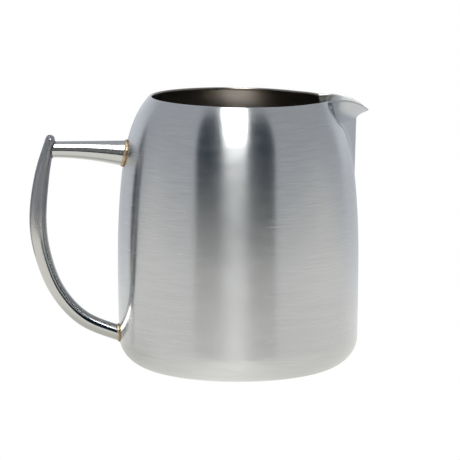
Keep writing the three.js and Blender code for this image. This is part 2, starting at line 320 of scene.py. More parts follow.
def crease_half_width(z):
    """Half the spout's width where its flat sides meet the body."""
    keel = keel_x(z)
    widening = np.maximum(0, (z - SPOUT_WIDEST_Z) / (RIM_Z - SPOUT_WIDEST_Z))
    limit = SPOUT_HALF_WIDTH - (SPOUT_HALF_WIDTH - SPOUT_CORNER_HALF_WIDTH) * widening**2
    a = 1 / math.sin(SPOUT_HALF_ANGLE) ** 2
    b = 2 * keel / math.tan(SPOUT_HALF_ANGLE)
    c = np.maximum(0, keel**2 - body_radius(z) ** 2)
    discriminant = b**2 - 4 * a * c
    meeting = (b - np.sqrt(np.maximum(discriminant, 0))) / (2 * a)
    return np.where(discriminant > 0, np.minimum(limit, meeting), limit)


def crease_x(half_width, z):
    """Where the body's skin stands at the spout's edge."""
    angle = np.arcsin(half_width / body_radius(z))
    radius = body_radius(z) + mouth_pull(angle, z)
    return np.sqrt(radius**2 - half_width**2)


def lip_curve(share):
    """The pouring edge from the tip (0) to the corner of the mouth (1)."""
    corner = np.array([crease_x(SPOUT_CORNER_HALF_WIDTH, RIM_Z), SPOUT_CORNER_HALF_WIDTH])
    s = share[..., None]
    plan = (1 - s) ** 3 * LIP_TIP + 3 * (1 - s) ** 2 * s * LIP_NOSE
    plan = plan + 3 * (1 - s) * s**2 * LIP_SIDE + s**3 * corner
    reach = np.maximum(0, plan[..., 0] - LIP_LEVEL_X)
    return plan[..., 0], plan[..., 1], LIP_TOP_Z - LIP_DROP * reach**2


def wall_x(share, z):
    """The flat side of the spout, seen from above, with a rounded keel."""
    half_width = crease_half_width(z)
    y = half_width * share
    fall = np.sqrt(y**2 + KEEL_ROUND**2) - KEEL_ROUND
    full = np.sqrt(half_width**2 + KEEL_ROUND**2) - KEEL_ROUND
    back = crease_x(half_width, z)
    return keel_x(z) + (back - keel_x(z)) * fall / np.maximum(full, 1e-9), y


def spout_skin(across, height):
    """Outer skin of the spout: across from -1 to 1, height from 0 to 1 at the lip."""
    share = np.abs(across)
    lip_x, lip_y, lip_z = lip_curve(share)
    z = SPOUT_START_Z + (lip_z - SPOUT_START_Z) * height
    x, y = wall_x(share, z)
    top_x, top_y = wall_x(share, lip_z)
    roll = np.maximum(0, (z - FLARE_START_Z) / (lip_z - FLARE_START_Z)) ** FLARE_POWER
    x = x + (lip_x - top_x) * roll
    y = y + (lip_y - top_y) * roll
    return np.stack([x, y * np.sign(across), z], axis=-1)


def rounded_edge(outer, inner, normals):
    """Half-round rows that join the top rows of two skins."""
    rise = unit(outer[-1] - outer[-2])
    centre = (outer[-1] + inner[-1]) / 2
    half = np.linalg.norm(outer[-1] - inner[-1], axis=-1, keepdims=True) / 2
    rows = []
    for step in range(1, RIM_STEPS):
        angle = math.pi * step / RIM_STEPS
        rows.append(centre + half * (math.cos(angle) * normals[-1] + math.sin(angle) * rise))
    return np.array(rows)


def keep_side(inner, outer):
    """Keeps an inner skin on its side of the XZ plane, by a share of the outer skin's
    distance from it, where the spout is narrow."""
    side = np.sign(outer[..., 1])
    inner[..., 1] = side * np.maximum(side * inner[..., 1], side * outer[..., 1] * SIDE_SHARE)


def body_rows():
    """Height and radius of the body's rows, which crowd together towards the rim."""
    angle = np.linspace(0, math.pi / 2, CORNER_ROWS, endpoint=False)
    corner_r = BASE_FLAT_RADIUS + (CORNER_RADIUS - BASE_FLAT_RADIUS) * np.sin(angle)
    corner_z = CORNER_HEIGHT * (1 - np.cos(angle))
    side_z = np.linspace(CORNER_HEIGHT, SPOUT_START_Z, SIDE_ROWS, endpoint=False)
    rise = 1 - (1 - np.linspace(0, 1, SPOUT_ROWS)) ** ROW_CROWDING
    top_z = SPOUT_START_Z + (RIM_Z - SPOUT_START_Z) * rise
    z = np.concatenate([corner_z, side_z, top_z])
    r = np.concatenate([corner_r, body_radius(side_z), body_radius(top_z)])
    return z, r


def body_turns():
    """Where the body's columns stand, from 0 to 1 round it from the spout's edge."""
    near = np.array(SEAM_COLUMNS) / (2 * math.pi * BODY_RADIUS)
    half = np.concatenate([near, np.linspace(near[-1] * BODY_NEXT_COLUMN, 0.5, BODY_COLUMNS // 2)])
    return np.concatenate([half, 1 - half[-2::-1]])


def spout_places():
    """Where the spout's columns stand, from -1 at one edge to 1 at the other."""
    near = np.array(SEAM_COLUMNS) / SPOUT_HALF_WIDTH
    half = np.concatenate([near, np.linspace(near[-1] * SPOUT_NEXT_COLUMN, 1, SPOUT_COLUMNS // 2)]) - 1
    return np.concatenate([half, -half[-2::-1]])


def body_skin(z, r, turn):
    """Outer skin of the body, notched for the spout, and the angle of each point."""
    half_width = np.where(z > SPOUT_START_Z, crease_half_width(z), 0)
    crease = np.arcsin(np.clip(half_width / r, 0, 1))
    theta = crease[:, None] + (2 * math.pi - 2 * crease[:, None]) * turn
    signed = np.arctan2(np.sin(theta), np.cos(theta))
    radius = r[:, None] + mouth_pull(signed, z[:, None])
    x = radius * np.cos(theta)
    y = radius * np.sin(theta)
    return np.stack([x, y, z[:, None] + mouth_dip(x, z[:, None])], axis=-1), theta


def join_edges(body, spout, theta):
    """Moves the body's edges onto the spout's, and the skin beside them less and less."""
    for column, side in EDGES:
        shift = spout[:, side] - body[:, column]
        away = np.abs(theta - theta[:, column][:, None])
        fade = 1 - smoothstep(away * BODY_RADIUS, 0, EDGE_BLEND)
        body += shift[:, None, :] * fade[..., None]


def mitre_edges(body_offset, spout_offset):
    """Turns the normals of both sheets' edges to a common mitre, which keeps their
    thickness where they meet."""
    for column, side in EDGES:
        a, b = body_offset[:, column], spout_offset[:, side]
        mitre = (a + b) / (1 + np.sum(a * b, axis=-1, keepdims=True))
        body_offset[:, column] = mitre
        spout_offset[:, side] = mitre


def cut_groove(body, spout, body_offset, spout_offset, theta, across):
    """Sinks both outer skins along the edges where they meet."""
    edge_z = body[:, 0, 2]
    deepening = smoothstep(edge_z - SPOUT_START_Z, *SEAM_DEEPENS)[:, None]
    fading = smoothstep(RIM_Z - edge_z, *SEAM_FADES)[:, None]
    depth = SEAM_DEPTH * deepening * fading
    for column in (0, -1):
        away = np.abs(theta - theta[:, column][:, None]) * BODY_RADIUS
        groove = depth * np.exp(-((away / SEAM_WIDTH) ** 2))
        body -= groove[..., None] * body_offset[:, column][:, None]
    away = (1 - np.abs(across))[None, :] * SPOUT_HALF_WIDTH
    groove = depth * np.exp(-((away / SEAM_WIDTH) ** 2))
    spout -= groove[..., None] * spout_offset


def add_sheet(name, node, outer, inner, offset, capped_from, around, up, materials):
    """A piece of sheet steel from its two skins. Around and up place its texture."""
    rim = rounded_edge(outer, inner, unit(offset))
    points, faces, interior = sheet_mesh(outer, inner, rim, capped_from)
    v = np.concatenate([up, np.full(RIM_STEPS - 1, up[-1]), up[::-1]])
    uv = np.stack(np.meshgrid(around, v), axis=-1).reshape(-1, 2) * MM
    add_piece(name, node, points, faces, uv, materials, interior)


def make_body_and_spout():
    """The two sheets are worked out together, so that their edges meet in one groove."""
    z, r = body_rows()
    turn = body_turns()
    across = spout_places()
    body, theta = body_skin(z, r, turn)
    notched = body[SPOUT_FIRST_ROW:]
    theta = theta[SPOUT_FIRST_ROW:]
    edge_z = notched[:, 0, 2]
    height = (edge_z - edge_z[0]) / (edge_z[-1] - edge_z[0])
    spout = spout_skin(across[None, :], height[:, None])
    spout[0] = notched[0, 0]
    join_edges(notched, spout, theta)

    body_offset = grid_normals(body)
    spout_offset = grid_normals(spout)
    spout_offset[0] = body_offset[SPOUT_FIRST_ROW, 0]
    mitre_edges(body_offset[SPOUT_FIRST_ROW:], spout_offset)
    cut_groove(notched, spout, body_offset[SPOUT_FIRST_ROW:], spout_offset, theta, across)

    thin = 1 - np.abs(across) ** LIP_THINNING_POWER
    thin = smoothstep(height, LIP_THINS_FROM, 1)[:, None] * thin[None, :]
    thickness = SHEET - (SHEET - LIP_SHEET) * thin
    body_inner = body - SHEET * body_offset
    spout_inner = spout - thickness[..., None] * spout_offset
    for column in (0, -1):
        keep_side(body_inner[SPOUT_FIRST_ROW:, column], notched[:, column])
    keep_side(spout_inner, spout)
    body_inner[0] = body[0] + np.array([0, 0, SHEET])

    length = np.concatenate([[0], np.cumsum(np.hypot(np.diff(r), np.diff(z)))])
    add_sheet("body_shell_satin", "body_shell", body, body_inner, body_offset, SPOUT_FIRST_ROW,
              turn * 2 * math.pi * BODY_RADIUS, length, [satin_steel, shaded_inner_steel])
    add_sheet("spout_satin", "spout", spout, spout_inner, spout_offset, 0,
              across * SPOUT_HALF_WIDTH, edge_z, [spout_steel, spout_inner_glint_steel])


def make_base_plate():
    """A disc with a softened edge that closes the shell, flush with its flat underside."""
    columns, soft, rings = 144, 0.25, 24
    profile = [(0.0, SHEET), (BASE_FLAT_RADIUS - soft, SHEET), (BASE_FLAT_RADIUS, SHEET - soft),
               (BASE_FLAT_RADIUS, soft), (BASE_FLAT_RADIUS - soft, 0.0)]
    flat = np.linspace(BASE_FLAT_RADIUS - soft, 0, rings)[1:]
    profile = np.array(profile + [(radius, 0.0) for radius in flat])
    angle = np.linspace(0, 2 * math.pi, columns)
    grid = np.stack([
        profile[:, :1] * np.cos(angle),
        profile[:, :1] * np.sin(angle),
        np.broadcast_to(profile[:, 1:], (len(profile), columns)),
    ], axis=-1)
    index = np.arange(len(profile) * columns).reshape(len(profile), columns)
    uv = grid[..., :2].reshape(-1, 2) * MM
    add_piece("base_plate_satin", "base_plate", grid.reshape(-1, 3), quads(index), uv,
              [satin_steel])


# ---- Handle ------------------------------------------------------------------


def between(a, b, start, end, t):
    """The straight way from a at start to b at end."""
    return ((end - t) * a + (t - start) * b) / (end - start)


def centripetal(points, samples):
    """A centripetal Catmull-Rom curve through points, as closely spaced samples."""
    first = 2 * points[0] - points[1]
    last = 2 * points[-1] - points[-2]
    line = np.vstack([first, points, last])
    knots = np.concatenate([[0], np.cumsum(np.linalg.norm(np.diff(line, axis=0), axis=1) ** 0.5)])
    pieces = []
    for i in range(1, len(line) - 2):
        t = np.linspace(knots[i], knots[i + 1], samples, endpoint=False)[:, None]
        near = [between(line[k], line[k + 1], knots[k], knots[k + 1], t) for k in (i - 1, i, i + 1)]
        wide = [between(near[k], near[k + 1], knots[i - 1 + k], knots[i + 1 + k], t) for k in (0, 1)]
        pieces.append(between(*wide, knots[i], knots[i + 1], t))
    pieces.append(line[-2:-1])
    return np.vstack(pieces)


GRIP_LINE = centripetal(GRIP_POINTS, 60)
GRIP_LENGTHS = np.concatenate([[0], np.cumsum(np.linalg.norm(np.diff(GRIP_LINE, axis=0), axis=1))])
GRIP_DIRECTIONS = unit(np.gradient(GRIP_LINE, GRIP_LENGTHS, axis=0))


def grip_centre(t):
    """The grip's centre line in the XZ plane, and its direction, at a share of its length."""
    distance = t * GRIP_LENGTHS[-1]
    centre = [np.interp(distance, GRIP_LENGTHS, GRIP_LINE[:, k]) for k in (0, 1)]
    along = [np.interp(distance, GRIP_LENGTHS, GRIP_DIRECTIONS[:, k]) for k in (0, 1)]
    return np.stack(centre, axis=-1), unit(np.stack(along, axis=-1))


def grip_point(t, angle):
    """A point on the grip's surface; angle 0 is its inner side, towards the body."""
    centre, along = grip_centre(t)
    swell = GRIP_SWELL * np.exp(-(((t - GRIP_SWELL_AT) / GRIP_SWELL_LENGTH) ** 2))
    thinning = GRIP_TOP_THINNING * np.maximum(0, 1 - t / GRIP_TOP_THINNING_LENGTH) ** 2
    thick = GRIP_HALF_THICKNESS + swell - thinning
    wide = GRIP_TOP_HALF_WIDTH + (GRIP_BOTTOM_HALF_WIDTH - GRIP_TOP_HALF_WIDTH) * t
    return np.stack([
        centre[..., 0] - along[..., 1] * thick * np.cos(angle),
        wide * np.sin(angle),
        centre[..., 1] + along[..., 0] * thick * np.cos(angle),
    ], axis=-1)


def arm_radius(x):
    """Radius of the arm, which widens towards the body."""
    share = (x - ARM_TAPER_START_X) / (ARM_TAPER_END_X - ARM_TAPER_START_X)
    return ARM_END_RADIUS + ARM_FLARE * np.clip(share, 0, ARM_FLARE_LIMIT) ** ARM_FLARE_POWER


def arm_point(x, angle):
    """A point on the arm's surface; angle 0 is its upper edge."""
    radius = arm_radius(x)
    x, angle = np.broadcast_arrays(x, angle)
    return np.stack([x, radius * np.sin(angle), ARM_TOP_Z - radius + radius * np.cos(angle)], axis=-1)


def find_border(is_past, limits, columns):
    """Where each of a bar's lines passes a border between two limits, by bisection."""
    low, high = (np.full(columns, limit) for limit in limits)
    for _ in range(BISECTIONS):
        middle = (low + high) / 2
        past = is_past(middle)
        low = np.where(past, low, middle)
        high = np.where(past, middle, high)
    return high


def meets_body(point, limits, columns, depth):
    """Where a bar's lines reach a depth below the body's outer skin."""

    def is_inside(along):
        place = point(along)
        return np.hypot(place[..., 0], place[..., 1]) < outer_radius(place[..., 2]) - depth

    return find_border(is_inside, limits, columns)


def bar_mesh(grid):
    """Closed mesh of a bar from its rows of points, with flat or pointed ends."""
    rows, columns = grid.shape[:2]
    index = np.arange(rows * columns).reshape(rows, columns)
    faces = quads(np.hstack([index, index[:, :1]]))
    faces.append(index[0].tolist())
    faces.append(index[-1][::-1].tolist())
    return grid.reshape(-1, 3), faces


def make_arm():
    """The upper bar, from inside the grip to just below the body's outer skin."""
    rows, columns = 72, 72
    angle = np.linspace(0, 2 * math.pi, columns, endpoint=False) + math.pi
    end = meets_body(lambda x: arm_point(x, angle), ARM_MEETS_BODY, columns, EMBED)
    start = ARM_TAPER_START_X - ARM_BURIED
    x = start + (end - start)[None, :] * np.linspace(0, 1, rows)[:, None]
    grid = arm_point(x, angle[None, :])
    points, faces = bar_mesh(grid)
    uv = np.stack([x, np.broadcast_to(angle * ARM_END_RADIUS, x.shape)], axis=-1).reshape(-1, 2) * MM
    add_piece("handle_arm_polished", "handle_arm", points, faces, uv, [polished_steel])


def make_grip():
    """The curved bar, from its domed top to just below the body's outer skin."""
    rows, dome_rows, columns = 190, 14, 64
    angle = np.linspace(0, 2 * math.pi, columns, endpoint=False)
    end = meets_body(lambda t: grip_point(t, angle), GRIP_MEETS_BODY, columns, EMBED)
    t = end[None, :] * np.linspace(0, 1, rows)[:, None]
    grid = grip_point(t, angle[None, :])
    centre, along = grip_centre(np.array(0.0))
    centre = np.array([centre[0], 0, centre[1]])
    along = np.array([along[0], 0, along[1]])
    dome = []
    for row in range(dome_rows):
        rise = math.cos(math.pi / 2 * row / dome_rows)
        ring = centre + (grid[0] - centre) * math.sqrt(1 - rise**2) ** GRIP_DOME_POWER
        dome.append(ring - along * GRIP_DOME * rise)
    grid = np.concatenate([np.array(dome), grid])
    points, faces = bar_mesh(grid)
    dome_length = np.linspace(*GRIP_DOME_LENGTH, dome_rows)
    length = np.concatenate([dome_length, np.linspace(0, 1, rows) * GRIP_LENGTHS[-1]])
    around = angle * GRIP_HALF_THICKNESS
    uv = np.stack(np.meshgrid(around, length), axis=-1)[..., ::-1].reshape(-1, 2) * MM
    add_piece("handle_grip_polished", "handle_grip", points, faces, uv, [grip_steel])


def uneven(angle, seed, amount):
    """A smooth periodic factor near 1, different for each seed."""
    draw = np.random.default_rng(seed)
    total = np.zeros_like(angle)
    for count in (2, 3, 5, 8, 13):
        total += draw.normal() * np.sin(count * angle + draw.uniform(0, 2 * math.pi)) / count**0.5
    return 1 + amount * total


def skin_normal(place):
    """Outward direction of the body's outer skin at places on it."""
    z = place[:, 2]
    radius = outer_radius(z)
    slope = (outer_radius(z + SLOPE_STEP) - outer_radius(z - SLOPE_STEP)) / (2 * SLOPE_STEP)
    return unit(np.stack([place[:, 0] / radius, place[:, 1] / radius, -slope], axis=-1))


def bead_rings(corner, out, behind, back, reach, stand_off, steps, power=1):
    """Rings of points round a bead. The first is buried in the corner, and the others
    make a quarter turn from the edge that back leads to, to the edge that out leads to."""
    rings = [corner - out * EMBED - behind * EMBED]
    for turn in np.linspace(0, math.pi / 2, steps):
        along = reach * math.cos(turn) ** power
        off = stand_off * math.sin(turn) ** power
        rings.append(corner + back * along[:, None] + out * off[:, None])
    return rings


def add_bead(name, node, rings, angle, material):
    """A closed bead from its rings of points, which are closed in both directions."""
    columns = len(angle)
    index = np.arange(len(rings) * columns).reshape(-1, columns)
    index = np.hstack([index, index[:, :1]])
    faces = quads(np.vstack([index, index[:1]]))
    v = np.concatenate([[0], np.linspace(0, 1, len(rings) - 1)])
    uv = np.stack(np.meshgrid(angle / (2 * math.pi), v), axis=-1).reshape(-1, 2)
    add_piece(name, node, np.array(rings).reshape(-1, 3), faces, uv, [material], sharp=70)


def make_body_braze(name, node, point, limits, reach, stand_off, seed):
    """A bead of braze in the corner between a bar and the body."""
    angle = np.linspace(0, 2 * math.pi, BEAD_COLUMNS, endpoint=False)
    root = meets_body(lambda s: point(s, angle), limits, BEAD_COLUMNS, 0)
    corner = point(root, angle)
    step = (limits[0] - limits[1]) * BACK_STEP_SHARE
    back = unit(point(root + step, angle) - corner)
    ahead = unit(np.roll(corner, -1, axis=0) - np.roll(corner, 1, axis=0))
    skin = skin_normal(corner)
    out = unit(np.cross(skin, ahead))
    out *= np.sign(np.sum(out * (corner - corner.mean(axis=0)), axis=-1, keepdims=True))
    reach = reach * uneven(angle, seed, BEAD_REACH_VARIES)
    stand_off = stand_off * uneven(angle, seed + 1, BEAD_STAND_OFF_VARIES)
    rings = bead_rings(corner, out, skin, back, reach, stand_off, BEAD_STEPS)
    rings[1] = rings[1] - out * BEAD_EDGE_SINK
    rings[-1] = rings[-1] - skin * BEAD_EDGE_SINK
    add_bead(name, node, rings, angle, braze)


def arm_meets_grip(angle):
    """Where the arm's lines come out of the grip."""
    t = np.linspace(0, GRIP_MEETS_ARM, GRIP_MEETS_ARM_STEPS)
    centre = grip_centre(t)[0]

    def is_outside(x):
        place = arm_point(x, angle)
        nearest = np.argmin(np.abs(centre[None, :, 1] - place[:, 2:3]), axis=1)
        thick = np.abs(grip_point(t[nearest], np.zeros(len(angle)))[:, 0] - centre[nearest, 0])
        flat = np.maximum(GRIP_FLATTEST, 1 - (place[:, 1] / GRIP_TOP_HALF_WIDTH) ** 2)
        return place[:, 0] >= centre[nearest, 0] + thick * np.sqrt(flat)

    return find_border(is_outside, ARM_MEETS_GRIP, len(angle))


def make_grip_braze():
    """The bead between the arm's thin end and the grip."""
    angle = np.linspace(0, 2 * math.pi, GRIP_BEAD_COLUMNS, endpoint=False)
    corner = arm_point(arm_meets_grip(angle), angle)
    lean = np.full(len(angle), -GRIP_BEAD_LEAN)
    out = unit(np.stack([lean, corner[:, 1], corner[:, 2] - (ARM_TOP_Z - ARM_END_RADIUS)], axis=-1))
    back = np.broadcast_to(np.array([1.0, 0.0, 0.0]), corner.shape)
    reach = GRIP_BEAD_REACH * uneven(angle, GRIP_BEAD_SEED, GRIP_BEAD_VARIES)
    stand_off = GRIP_BEAD_STAND_OFF * uneven(angle, GRIP_BEAD_SEED + 1, GRIP_BEAD_VARIES)
    rings = bead_rings(corner, out, back, back, reach, stand_off, GRIP_BEAD_STEPS, GRIP_BEAD_POWER)
    add_bead("braze_arm_to_grip_bead", "braze_arm_to_grip", rings, angle, dark_braze)


# ---- Materials ---------------------------------------------------------------

# How many times a noise changes in each millimetre along X, Y and Z, or along the
# texture's own axes on the bars, whose first one runs lengthwise
FINE_STREAKS = (0.12, 0.12, 4.0)
BROAD_STREAKS = (0.05, 0.05, 0.5)
SMUDGES = (0.05, 0.05, 0.05)
BAR_STREAKS = (0.05, 2.0, 1.0)
BAR_SMUDGES = (0.12, 0.25, 1.0)
BRAZE_GRAIN = (1.2, 1.2, 1.2)

# A noise keeps near 0.5, so a ramp spreads one of these ranges of it
WIDE_RANGE = (0.2, 0.8)
MIDDLE_RANGE = (0.25, 0.75)
NARROW_RANGE = (0.3, 0.7)

# Brushed steel: its grain runs round the body, and its gloss spreads up and down, a
# quarter turn from it. The haze is a second, rougher gloss.
GLOSS_TURN = 0.25
HAZE_ROUGHNESS = 0.38
HAZE_ANISOTROPIC = 1.0

# Bars: the satin part's tones, which are darker than the polish as painted shade, and shares
# of its roughness, of the polish's roughness and of the streaks' relief. A bar without satin
# has it end before the bar begins.
SATIN_SHADE_DARK = (0.29, 0.30, 0.32)
SATIN_SHADE_LIGHT = (0.37, 0.38, 0.40)
SATIN_LEAST = 0.55
POLISH_LEAST = 0.7
POLISH_MOST = 1.5
POLISH_RANGE = (0.3, 0.75)
POLISHED_RELIEF = 0.004
NO_SATIN = (-90, -89)

# Braze: where its crown is across the bead, and how far from it gold turns to brown
BRAZE_CROWN = 0.45
BRAZE_EDGES = (0.2, 0.5)
BRAZE_EDGE_VARIES = 0.18
BRAZE_SMOOTHER = 0.08
BRAZE_ROUGHER = 0.12
BRAZE_RELIEF = 0.06


class Nodes:
    """Short calls for building a node tree."""

    def __init__(self, tree):
        self.tree = tree
        tree.nodes.clear()

    def add(self, kind, **settings):
        node = self.tree.nodes.new(kind)
        for name, value in settings.items():
            setattr(node, name, value)
        return node

    def link(self, source, target):
        self.tree.links.new(source, target)

    def math(self, operation, a, b=None):
        """A sum of one or two values, which are numbers or other nodes' outputs."""
        node = self.add("ShaderNodeMath", operation=operation)
        for socket, value in zip(node.inputs, (a, b)):
            if value is None:
                continue
            if isinstance(value, (int, float)):
                socket.default_value = value
            else:
                self.link(value, socket)
        return node.outputs[0]

    def ramp(self, value, low, high, to_low=0.0, to_high=1.0, smooth=True):
        """Turns a value's range from low to high into another, and stops at its ends."""
        kind = "SMOOTHSTEP" if smooth else "LINEAR"
        node = self.add("ShaderNodeMapRange", interpolation_type=kind)
        self.link(value, node.inputs["Value"])
        node.inputs["From Min"].default_value = low
        node.inputs["From Max"].default_value = high
        node.inputs["To Min"].default_value = to_low
        node.inputs["To Max"].default_value = to_high
        return node.outputs["Result"]

    def band(self, value, low, high, soft):
        """1 between low and high, with soft edges."""
        rising = self.ramp(value, low - soft, low + soft)
        falling = self.ramp(value, high - soft, high + soft, 1.0, 0.0)
        return self.math("MULTIPLY", rising, falling)

    def noise(self, vector, stretch, detail):
        """Noise that is stretched along each axis."""
        mapping = self.add("ShaderNodeMapping")
        self.link(vector, mapping.inputs["Vector"])
        mapping.inputs["Scale"].default_value = stretch
        node = self.add("ShaderNodeTexNoise")
        self.link(mapping.outputs["Vector"], node.inputs["Vector"])
        node.inputs["Scale"].default_value = 1 / MM
        node.inputs["Detail"].default_value = detail
        return node.outputs["Fac"]

    def mix(self, factor, a, b):
        """A colour from a to b, which are colours or other nodes' outputs."""
        node = self.add("ShaderNodeMix", data_type="RGBA")
        self.link(factor, node.inputs["Factor"])
        for socket, value in ((node.inputs["A"], a), (node.inputs["B"], b)):
            if isinstance(value, tuple):
                socket.default_value = (*value, 1.0)
            else:
                self.link(value, socket)
        return node.outputs["Result"]

    def axes(self, vector):
        """The X, Y and Z of a vector."""
        node = self.add("ShaderNodeSeparateXYZ")
        self.link(vector, node.inputs["Vector"])
        return node.outputs

    def length(self, vector, start=(0.0, 0.0, 0.0)):
        """The distance of a place from a start."""
        node = self.add("ShaderNodeVectorMath", operation="DISTANCE")
        self.link(vector, node.inputs[0])
        node.inputs[1].default_value = start
        return node.outputs["Value"]

    def relief(self, height, depth):
        """The normal of a surface with a relief, whose depth is in millimetres."""
        node = self.add("ShaderNodeBump")
        node.inputs["Strength"].default_value = 1.0
        node.inputs["Distance"].default_value = depth * MM
        self.link(height, node.inputs["Height"])
        return node.outputs["Normal"]

    def metal(self):
        """A shader of bare metal."""
        node = self.add("ShaderNodeBsdfPrincipled")
        node.inputs["Metallic"].default_value = 1.0
        return node

    def show(self, surface):
        """Makes a shader the one that the material shows."""
        output = self.add("ShaderNodeOutputMaterial")
        self.link(surface, output.inputs["Surface"])


def new_material(name):
    """An empty material, and its nodes to build it with."""
    material = bpy.data.materials.new(name)
    material.use_nodes = True
    return material, Nodes(material.node_tree)


def brushed_steel(name, light, dark, roughness, spread, anisotropic, depth, haze):
    """Steel brushed round the body: streaks that are long across and short in height.
    Haze is the share of a second, wider scatter up and down."""
    material, nodes = new_material(name)
    place = nodes.add("ShaderNodeTexCoord").outputs["Object"]
    streaks = nodes.noise(place, FINE_STREAKS, detail=2.0)
    broad = nodes.noise(place, BROAD_STREAKS, detail=2.0)
    smudge = nodes.noise(place, SMUDGES, detail=3.0)
    rough = nodes.ramp(streaks, *MIDDLE_RANGE, roughness - spread, roughness + spread, smooth=False)
    rough = nodes.math("ADD", rough, nodes.ramp(broad, *NARROW_RANGE, -spread / 2, spread / 2))
    rough = nodes.math("ADD", rough, nodes.ramp(smudge, *NARROW_RANGE, -spread / 3, spread / 3))
    tint = nodes.mix(nodes.ramp(streaks, *WIDE_RANGE), dark, light)
    tangent = nodes.add("ShaderNodeTangent", direction_type="RADIAL", axis="Z")
    normal = nodes.relief(streaks, depth)
    narrow = nodes.metal()
    nodes.link(rough, narrow.inputs["Roughness"])
    wide = nodes.metal()
    wide.inputs["Roughness"].default_value = HAZE_ROUGHNESS
    for lobe, share in ((narrow, anisotropic), (wide, HAZE_ANISOTROPIC)):
        nodes.link(tint, lobe.inputs["Base Color"])
        lobe.inputs["Anisotropic"].default_value = share
        lobe.inputs["Anisotropic Rotation"].default_value = GLOSS_TURN
        nodes.link(tangent.outputs["Tangent"], lobe.inputs["Tangent"])
        nodes.link(normal, lobe.inputs["Normal"])
    blend = nodes.add("ShaderNodeMixShader")
    blend.inputs["Fac"].default_value = haze
    nodes.link(narrow.outputs["BSDF"], blend.inputs[1])
    nodes.link(wide.outputs["BSDF"], blend.inputs[2])
    nodes.show(blend.outputs["Shader"])
    return material


def bar_steel(name, light, dark, roughness, satin, satin_ends, depth):
    """Polished bar. Its first stretch can be rougher satin with lengthwise streaks, painted
    darker as shade, which ends gradually between two places along the bar, in millimetres."""
    material, nodes = new_material(name)
    uv = nodes.add("ShaderNodeTexCoord").outputs["UV"]
    ends_from, ends_at = satin_ends
    share = nodes.ramp(nodes.axes(uv)["X"], ends_from * MM, ends_at * MM, 1.0, 0.0)
    streaks = nodes.noise(uv, BAR_STREAKS, detail=3.0)
    smudge = nodes.noise(uv, BAR_SMUDGES, detail=3.0)
    spread = nodes.ramp(streaks, *NARROW_RANGE, satin * SATIN_LEAST, satin)
    polish = nodes.ramp(smudge, *POLISH_RANGE, roughness * POLISH_LEAST, roughness * POLISH_MOST)
    rough = nodes.math("ADD", nodes.math("MULTIPLY", share, spread), polish)
    polished = nodes.mix(nodes.ramp(streaks, *WIDE_RANGE), dark, light)
    # The satin part's darker tone is painted shade.
    satin_shade = nodes.mix(nodes.ramp(streaks, *WIDE_RANGE), SATIN_SHADE_DARK, SATIN_SHADE_LIGHT)
    height = nodes.math("MULTIPLY", streaks, nodes.math("ADD", share, POLISHED_RELIEF))
    metal = nodes.metal()
    nodes.link(rough, metal.inputs["Roughness"])
    nodes.link(nodes.mix(share, polished, satin_shade), metal.inputs["Base Color"])
    nodes.link(nodes.relief(height, depth), metal.inputs["Normal"])
    nodes.show(metal.outputs["BSDF"])
    return material


def braze_metal(name, gold, brown, roughness):
    """Braze alloy: golden along its crown, brown towards its edges, uneven."""
    material, nodes = new_material(name)
    coordinates = nodes.add("ShaderNodeTexCoord").outputs
    grain = nodes.noise(coordinates["Object"], BRAZE_GRAIN, detail=4.0)
    across = nodes.axes(coordinates["UV"])["Y"]
    edge = nodes.math("ABSOLUTE", nodes.math("SUBTRACT", across, BRAZE_CROWN))
    shift = nodes.ramp(grain, *NARROW_RANGE, -BRAZE_EDGE_VARIES, BRAZE_EDGE_VARIES, smooth=False)
    share = nodes.ramp(nodes.math("ADD", edge, shift), *BRAZE_EDGES)
    rough = nodes.ramp(grain, *NARROW_RANGE, roughness - BRAZE_SMOOTHER, roughness + BRAZE_ROUGHER)
    metal = nodes.metal()
    nodes.link(nodes.mix(share, gold, brown), metal.inputs["Base Color"])
    nodes.link(rough, metal.inputs["Roughness"])
    nodes.link(nodes.relief(grain, BRAZE_RELIEF), metal.inputs["Normal"])
    nodes.show(metal.outputs["BSDF"])
    return material


satin_steel = brushed_steel(
    "satin_steel", light=(0.66, 0.67, 0.68), dark=(0.60, 0.61, 0.62),
    roughness=0.235, spread=0.03, anisotropic=0.952, depth=0.0011, haze=0.10,
)
spout_steel = brushed_steel(
    "spout_steel", light=(0.58, 0.60, 0.625), dark=(0.54, 0.56, 0.585),
    roughness=0.30, spread=0.02, anisotropic=0.4, depth=0.0003, haze=0.1,
)
# Brighter than bare steel can be: a painted glint on the inside of the spout.
spout_inner_glint_steel = brushed_steel(
    "spout_inner_glint_steel", light=(0.90, 0.90, 0.88), dark=(0.82, 0.82, 0.80),
    roughness=0.5, spread=0.03, anisotropic=0.1, depth=0.002, haze=0.2,
)
# Darker and browner than the outer steel: painted shade inside the jug.
shaded_inner_steel = brushed_steel(
    "shaded_inner_steel", light=(0.33, 0.30, 0.26), dark=(0.27, 0.24, 0.205),
    roughness=0.30, spread=0.02, anisotropic=0.7, depth=0.0008, haze=0.15,
)
polished_steel = bar_steel(
    "polished_steel", light=(0.61, 0.615, 0.605), dark=(0.58, 0.585, 0.575),
    roughness=0.13, satin=0.1, satin_ends=NO_SATIN, depth=0.002,
)
grip_steel = bar_steel(
    "grip_steel", light=(0.60, 0.60, 0.585), dark=(0.56, 0.56, 0.545),
    roughness=0.10, satin=0.45, satin_ends=(20, 36), depth=0.006,
)
braze = braze_metal(
    "braze", gold=(0.58, 0.47, 0.32), brown=(0.25, 0.17, 0.10), roughness=0.48,
)
dark_braze = braze_metal(
    "dark_braze", gold=(0.20, 0.18, 0.155), brown=(0.08, 0.065, 0.055), roughness=0.4,
)

# ---- Studio ------------------------------------------------------------------

